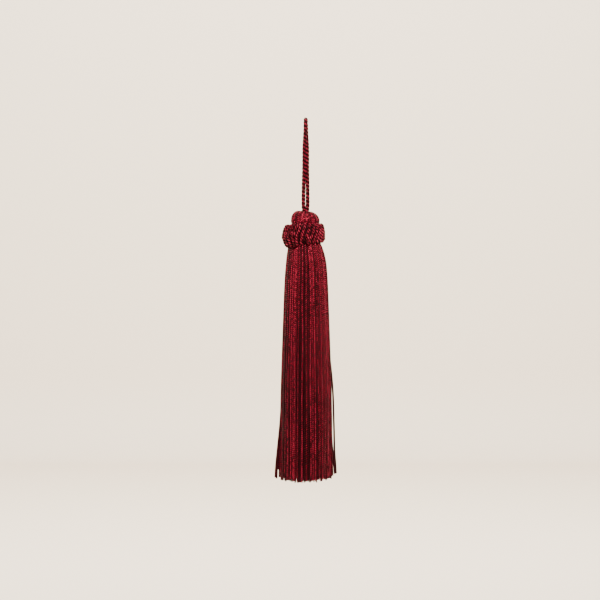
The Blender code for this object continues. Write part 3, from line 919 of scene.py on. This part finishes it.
class TASSEL_OT_head(bpy.types.Operator):
    """Folds threads over the top into the round head"""

    bl_idname = "tassel.head"
    bl_label = "Folded head"

    def execute(self, context):
        sizes = context.scene.tassel
        chance = random.Random(sizes.seed)
        lines, strands = [], []
        for layer in LAYER_ROWS:
            for index in range(layer.threads):
                aside = chance.uniform(-HEAD_CROWDING, HEAD_CROWDING)
                angle = math.tau * (index + layer.shift + aside) / layer.threads
                sway, phase = chance.uniform(*HEAD_SWAY), chance.uniform(0, math.tau)
                slant = chance.uniform(*HEAD_SLANT)
                depth = layer.sink + chance.uniform(*HEAD_DEPTHS) * MM
                line = []
                for step in range(HEAD_SECTIONS + 1):
                    share = step / HEAD_SECTIONS
                    radius, height = head_profile(share)
                    radius = max(radius - depth, HEAD_INNERMOST)
                    turn = angle + slant * share + sway * math.sin(phase + HEAD_SWAY_RATE * share)
                    height -= depth * (1 - smooth_step(share * HEAD_DROP_HASTE)) * HEAD_DROP
                    point = Vector((radius * math.cos(turn), radius * math.sin(turn), height))
                    line.append(shape_dome(point) + Vector((HEAD_X, 0, 0)))
                lines.append(line)
                strands.append(chance.uniform(*HEAD_SHADES))
        source = lines_object("head_lines", lines, strand=strands, shade=strands)
        values = {
            "Radius": sizes.thread_radius, "Lay": sizes.thread_lay, "Step": HEAD_STEP,
            "Material": thread_material(sizes),
        }
        piece = grown(source, cord_tree("head_thread", HEAD_SIDES, 0.0), values, "head_threads")
        settle(piece, "head_and_skirt")
        self.core(sizes)
        return {"FINISHED"}

    def core(self, sizes):
        """The threads under the surface, as one turned body."""
        mesh = bpy.data.meshes.new("head_core")
        profile = []
        for step in range(CORE_ROWS + 1):
            share = step / CORE_ROWS
            radius, height = head_profile(share)
            profile.append((max(radius - CORE_SINK, 0.0), 0.0, height - CORE_DROP * (1 - share)))
        profile = [(0.0, 0.0, CORE_TOP), *profile, (CORE_FOOT_RADIUS, 0.0, CORE_FOOT), (0.0, 0.0, CORE_FOOT)]
        mesh.from_pydata(profile, [(i, i + 1) for i in range(len(profile) - 1)], [])
        core = placed("head_core_profile", mesh)
        screw = core.modifiers.new("turn", "SCREW")
        screw.steps = CORE_SIDES
        screw.render_steps = CORE_SIDES
        screw.use_merge_vertices = True
        screw.merge_threshold = CORE_MERGE
        bpy.context.view_layer.update()
        graph = bpy.context.evaluated_depsgraph_get()
        turned = bpy.data.meshes.new_from_object(core.evaluated_get(graph))
        bpy.data.objects.remove(core)
        shape = bmesh.new()
        shape.from_mesh(turned)
        bmesh.ops.remove_doubles(shape, verts=shape.verts, dist=0.1 * CORE_MERGE)
        for vertex in shape.verts:
            vertex.co = shape_dome(vertex.co) + Vector((HEAD_X, 0, 0))
        bmesh.ops.recalc_face_normals(shape, faces=shape.faces)
        shape.to_mesh(turned)
        shape.free()
        turned.shade_smooth()
        turned.materials.clear()
        turned.materials.append(thread_material(sizes))
        settle(placed("head_core", turned), "head_and_skirt")


def collar_place(around, across, sink):
    """Radius and height of a point of the collar's ring, sunk below its outside: around from the right,
    across round the section."""
    shift = math.cos(around)
    outside = COLLAR_OUTSIDE + COLLAR_OUTSIDE_SHIFT * shift - sink
    inside = COLLAR_INSIDE + WIND_RADIUS
    middle, half = (outside + inside) / 2, (outside - inside) / 2
    length = COLLAR_HALF_LENGTH + COLLAR_HALF_LENGTH_SHIFT * shift - sink
    power = 2 / COLLAR_SQUARENESS
    outward, upward = math.cos(across), math.sin(across)
    height = COLLAR_HEIGHT + COLLAR_HEIGHT_SHIFT * shift
    height += length * math.copysign(abs(upward) ** power, upward)
    return middle + half * math.copysign(abs(outward) ** power, outward), height


def degrees_off(turn, angle):
    return (math.degrees(turn) - angle + 180) % 360 - 180


def slit_push(turn, height):
    """How far a cord there is pushed round by the slits beside it."""
    push = 0.0
    for row in SLIT_ROWS:
        off = degrees_off(turn, row.angle)
        side = max(-1.0, min(1.0, off / SLIT_EDGE))
        below = smooth_step((row.top - height) / SLIT_FADE)
        push += math.radians(row.push) * side * math.exp(-((off / SLIT_WIDTH) ** 2)) * below
    return push


class TASSEL_OT_collar(bpy.types.Operator):
    """Knots the doubled cord round the neck"""

    bl_idname = "tassel.collar"
    bl_label = "Knotted collar"

    def execute(self, context):
        sizes = context.scene.tassel
        chance = random.Random(sizes.seed + 5)
        lines, shades = [], []
        cords = WINDS * CORDS_PER_WIND
        for number in range(cords):
            sunk = number % CORDS_PER_WIND
            aside = chance.uniform(-WIND_CROWDING, WIND_CROWDING)
            around = math.tau * (number + 0.5 + aside) / cords
            lift = chance.uniform(*WIND_LIFTS) * MM - SUNK_CORD * sunk
            pieces = self.cord_lines(around, math.tau / cords, lift)
            lines += pieces
            # Brightness differs at random, and sunk cords are painted darker, as shade
            shades += [chance.uniform(*WIND_SHADES) * (1 - SUNK_SHADE * sunk) for _ in pieces]
        for number in range(UNDER_CORDS):
            around = math.tau * (number + chance.uniform(-UNDER_CROWDING, UNDER_CROWDING)) / UNDER_CORDS
            lines.append(self.under_cord(around))
            # Cords underneath are painted dark, as shade
            shades.append(chance.uniform(*UNDER_SHADES))
        source = lines_object("collar_lines", lines, strand=[chance.random() for _ in lines], shade=shades)
        values = {
            "Radius": WIND_RADIUS, "Lay": sizes.wind_lay, "Step": WIND_STEP,
            "Material": cord_material("wound_cord", sizes, sizes.wind_lay),
        }
        piece = grown(source, cord_tree("two_ply_collar", WIND_SIDES, WIND_PINCH), values, "collar_cords")
        settle(piece, "collar")
        return {"FINISHED"}

    def under_cord(self, around):
        """A cord under the outer ones."""

        def lean(across):
            return -UNDER_LEAN * math.sin(across)

        return self.arc(around, -UNDER_END, UNDER_END, lean, lambda across: -UNDER_DEPTH)

    def cord_lines(self, around, pitch, lift):
        """One turn of cord round the ring, or its two pieces where it tucks under others."""
        slant = WIND_SLANT * math.pi / WINDS
        share, tuck = max(
            (smooth_step(TUCK_HASTE * (1 - abs(degrees_off(around, row.angle)) / row.reach)), row)
            for row in TUCK_ROWS
        )
        shift = math.cos(around)
        length = COLLAR_HALF_LENGTH + COLLAR_HALF_LENGTH_SHIFT * shift
        level = (tuck.height - COLLAR_HEIGHT - COLLAR_HEIGHT_SHIFT * shift) / length
        level = math.degrees(math.asin(min(max(level, -TUCK_LIMIT), TUCK_LIMIT)))

        def fade(across, row):
            return smooth_step((math.degrees(across) - level - row.start) / row.length)

        def turn_of(across, lean):
            beyond = math.sin(across) - math.sin(math.radians(level))
            return slant * math.sin(across) + share * pitch * lean * beyond

        def over_turn(across):
            return turn_of(across, tuck.lean_above)

        def under_turn(across):
            aside = pitch * share * ASIDE_CORDS * fade(across, UNDER_ASIDE)
            return turn_of(across, tuck.lean_below) + aside

        def over_lift(across):
            return lift - OVER_SINK * (1 - fade(across, OVER_SINKS))

        def under_lift(across):
            off = (math.degrees(across) - level - BULGE_PLACE) / BULGE_WIDTH
            bulge = BULGE * math.exp(-(off ** 2))
            return lift + bulge - UNDER_SINK * fade(across, UNDER_SINKS)

        def whole_turn(across):
            return turn_of(across, tuck.lean_above if math.degrees(across) > level else tuck.lean_below)

        if share < TUCK_LEAST:
            return [self.arc(around, -WIND_END, WIND_END, whole_turn, lambda across: lift)]
        return [
            self.arc(around, level - TUCK_OVERLAP, WIND_END, over_turn, over_lift),
            self.arc(around, -WIND_END, level + TUCK_OVERLAP, under_turn, under_lift),
        ]

    def arc(self, around, start, end, turn_of, lift_of):
        """Points of a cord across the ring's section, turned round it and lifted as the two functions say."""
        line = []
        steps = max(LEAST_ARCS, round((end - start) / WIND_ARC))
        for step in range(steps + 1):
            across = math.radians(start + (end - start) * step / steps)
            radius, height = collar_place(around, across, WIND_RADIUS - lift_of(across))
            turn = around + turn_of(across)
            turn += slit_push(turn, height)
            line.append(Vector((HEAD_X + radius * math.cos(turn), radius * math.sin(turn), height)))
        return line


def skirt_radius(height):
    """Outer radius of the skirt at that height."""
    down = max(SKIRT_TOP - height, 0.0)
    quick = QUICK_FLARE * (1 - math.exp(-down / QUICK_FLARE_LENGTH))
    return SKIRT_RADIUS + quick + SLOW_FLARE * smooth_step(down / SLOW_FLARE_LENGTH)


def stray_line(row):
    """Points of one thread that leaves the skirt on its way down."""
    line = []
    turn = math.radians(row.angle)
    for step in range(STRAY_SECTIONS + 1):
        share = step / STRAY_SECTIONS
        height = SKIRT_TOP + (SKIRT_END + row.drop - SKIRT_TOP) * share
        bow = math.sin(math.pi * min(max((share - row.start) / BOW_LENGTH, 0.0), 1.0))
        late = max(row.start, REACH_START)
        reach = smooth_step((share - late) / (1 - late) * REACH_HASTE) / smooth_step(REACH_HASTE)
        radius = skirt_radius(height) + row.bow * bow + row.end * reach - STRAY_SINK
        middle = HEAD_X + SKIRT_DRIFT * smooth_step((SKIRT_TOP - height) / QUICK_FLARE_LENGTH)
        x = middle + radius * math.cos(turn)
        line.append(Vector((x, radius * math.sin(turn) * SKIRT_DEPTH_SHARE, height)))
    return line


class TASSEL_OT_skirt(bpy.types.Operator):
    """Hangs the skirt's threads, ring by ring, and the ones that stray"""

    bl_idname = "tassel.skirt"
    bl_label = "Skirt of threads"

    def execute(self, context):
        sizes = context.scene.tassel
        for number, row in enumerate(RING_ROWS):
            carrier = lines_object(row.name + "_roots", [[(0, 0, 0), (0, 0, MM)]])
            values = {
                "Threads": row.threads, "Points": row.points, "Reach": row.reach,
                "Radius": sizes.thread_radius, "Lay": sizes.thread_lay, "Sway": sizes.sway,
                "Raggedness": sizes.raggedness, "Seed": sizes.seed + 4 + 3 * number,
                "Shade": row.shade, "Material": thread_material(sizes),
            }
            piece = grown(carrier, skirt_tree(row.name + "_tree", row.sides), values, row.name)
            settle(piece, "head_and_skirt")
        lines = [stray_line(row) for row in STRAY_ROWS]
        # Brightness of each stray; the dark ones on the right are painted shade
        shades = [row.shade for row in STRAY_ROWS]
        source = lines_object("stray_lines", lines, strand=shades, shade=shades)
        values = {
            "Radius": STRAY_THICKNESS * sizes.thread_radius, "Lay": sizes.thread_lay, "Step": STRAY_STEP,
            "Material": thread_material(sizes),
        }
        piece = grown(source, cord_tree("stray_thread", STRAY_SIDES, 0.0), values, "stray_threads")
        settle(piece, "head_and_skirt")
        return {"FINISHED"}


class TASSEL_OT_stage(bpy.types.Operator):
    """Sets up the camera, the soft lights and the pale backdrop"""

    bl_idname = "tassel.stage"
    bl_label = "Stage"

    def execute(self, context):
        scene = context.scene
        data = bpy.data.cameras.new("camera")
        camera = placed("camera", data)
        camera.location = (VIEW_CENTRE[0], -CAMERA_DISTANCE, VIEW_CENTRE[1])
        camera.rotation_euler = (math.pi / 2, 0, 0)
        data.sensor_width = SENSOR_WIDTH
        data.lens = SENSOR_WIDTH * CAMERA_DISTANCE / VIEW_WIDTH
        data.clip_start = NEAREST_SEEN
        data.clip_end = FARTHEST_SEEN
        scene.camera = camera
        self.backdrop()
        for row in LAMP_ROWS:
            self.lamp(row)
        world = bpy.data.worlds.new("studio")
        world.use_nodes = True
        background = world.node_tree.nodes["Background"]
        background.inputs["Color"].default_value = WORLD_COLOUR
        background.inputs["Strength"].default_value = WORLD_STRENGTH
        scene.world = world
        return {"FINISHED"}

    def backdrop(self):
        """Floor and wall as one sheet with a soft turn between them."""
        rows = [(FLOOR_FRONT, FLOOR_HEIGHT), (0.0, FLOOR_HEIGHT)]
        for step in range(BEND_STEPS + 1):
            angle = math.pi / 2 * step / BEND_STEPS
            y = WALL_DISTANCE - BEND_RADIUS + BEND_RADIUS * math.sin(angle)
            rows.append((y, FLOOR_HEIGHT + BEND_RADIUS * (1 - math.cos(angle))))
        rows.append((WALL_DISTANCE, WALL_TOP))
        shape = bmesh.new()
        sides = (-BACKDROP_HALF_WIDTH, BACKDROP_HALF_WIDTH)
        ends = [[shape.verts.new((x, y, z)) for y, z in rows] for x in sides]
        for index in range(len(rows) - 1):
            shape.faces.new((ends[0][index], ends[1][index], ends[1][index + 1], ends[0][index + 1]))
        mesh = bpy.data.meshes.new("backdrop")
        shape.to_mesh(mesh)
        shape.free()
        mesh.shade_smooth()
        material = bpy.data.materials.new("pale_backdrop")
        material.use_nodes = True
        shader = material.node_tree.nodes["Principled BSDF"]
        shader.inputs["Base Color"].default_value = BACKDROP_COLOUR
        shader.inputs["Roughness"].default_value = 0.9
        shader.inputs["Specular IOR Level"].default_value = 0.1
        mesh.materials.append(material)
        backdrop = placed("backdrop", mesh)

    def lamp(self, row):
        data = bpy.data.lights.new(row.name, "AREA")
        data.size = row.size
        data.energy = row.power
        data.color = row.colour
        lamp = placed(row.name, data)
        lamp.location = row.place
        lamp.rotation_euler = (Vector(row.target) - Vector(row.place)).to_track_quat("-Z", "Y").to_euler()


PANEL_NAMES = (
    "thread_radius", "thread_lay", "cord_lay", "wind_lay", "sway", "raggedness",
    "thread_colour", "cord_colour", "seed",
)


class TASSEL_PT_panel(bpy.types.Panel):
    """Lists the tassel's sizes and the steps that make it"""

    bl_label = "Tassel"
    bl_idname = "TASSEL_PT_panel"
    bl_space_type = "VIEW_3D"
    bl_region_type = "UI"
    bl_category = "Tassel"

    def draw(self, context):
        sizes = context.scene.tassel
        for name in PANEL_NAMES:
            self.layout.prop(sizes, name)
        for operator in OPERATORS:
            self.layout.operator(operator.bl_idname)


OPERATORS = (TASSEL_OT_stage, TASSEL_OT_loop, TASSEL_OT_head, TASSEL_OT_collar, TASSEL_OT_skirt)
CLASSES = (TasselProperties, *OPERATORS, TASSEL_PT_panel)


def register():
    for cls in CLASSES:
        bpy.utils.register_class(cls)
    bpy.types.Scene.tassel = bpy.props.PointerProperty(type=TasselProperties)


def unregister():
    del bpy.types.Scene.tassel
    for cls in reversed(CLASSES):
        bpy.utils.unregister_class(cls)


def main():
    register()
    bpy.ops.tassel.stage()
    bpy.ops.tassel.loop()
    bpy.ops.tassel.head()
    bpy.ops.tassel.collar()
    bpy.ops.tassel.skirt()


if __name__ == "__main__":
    main()
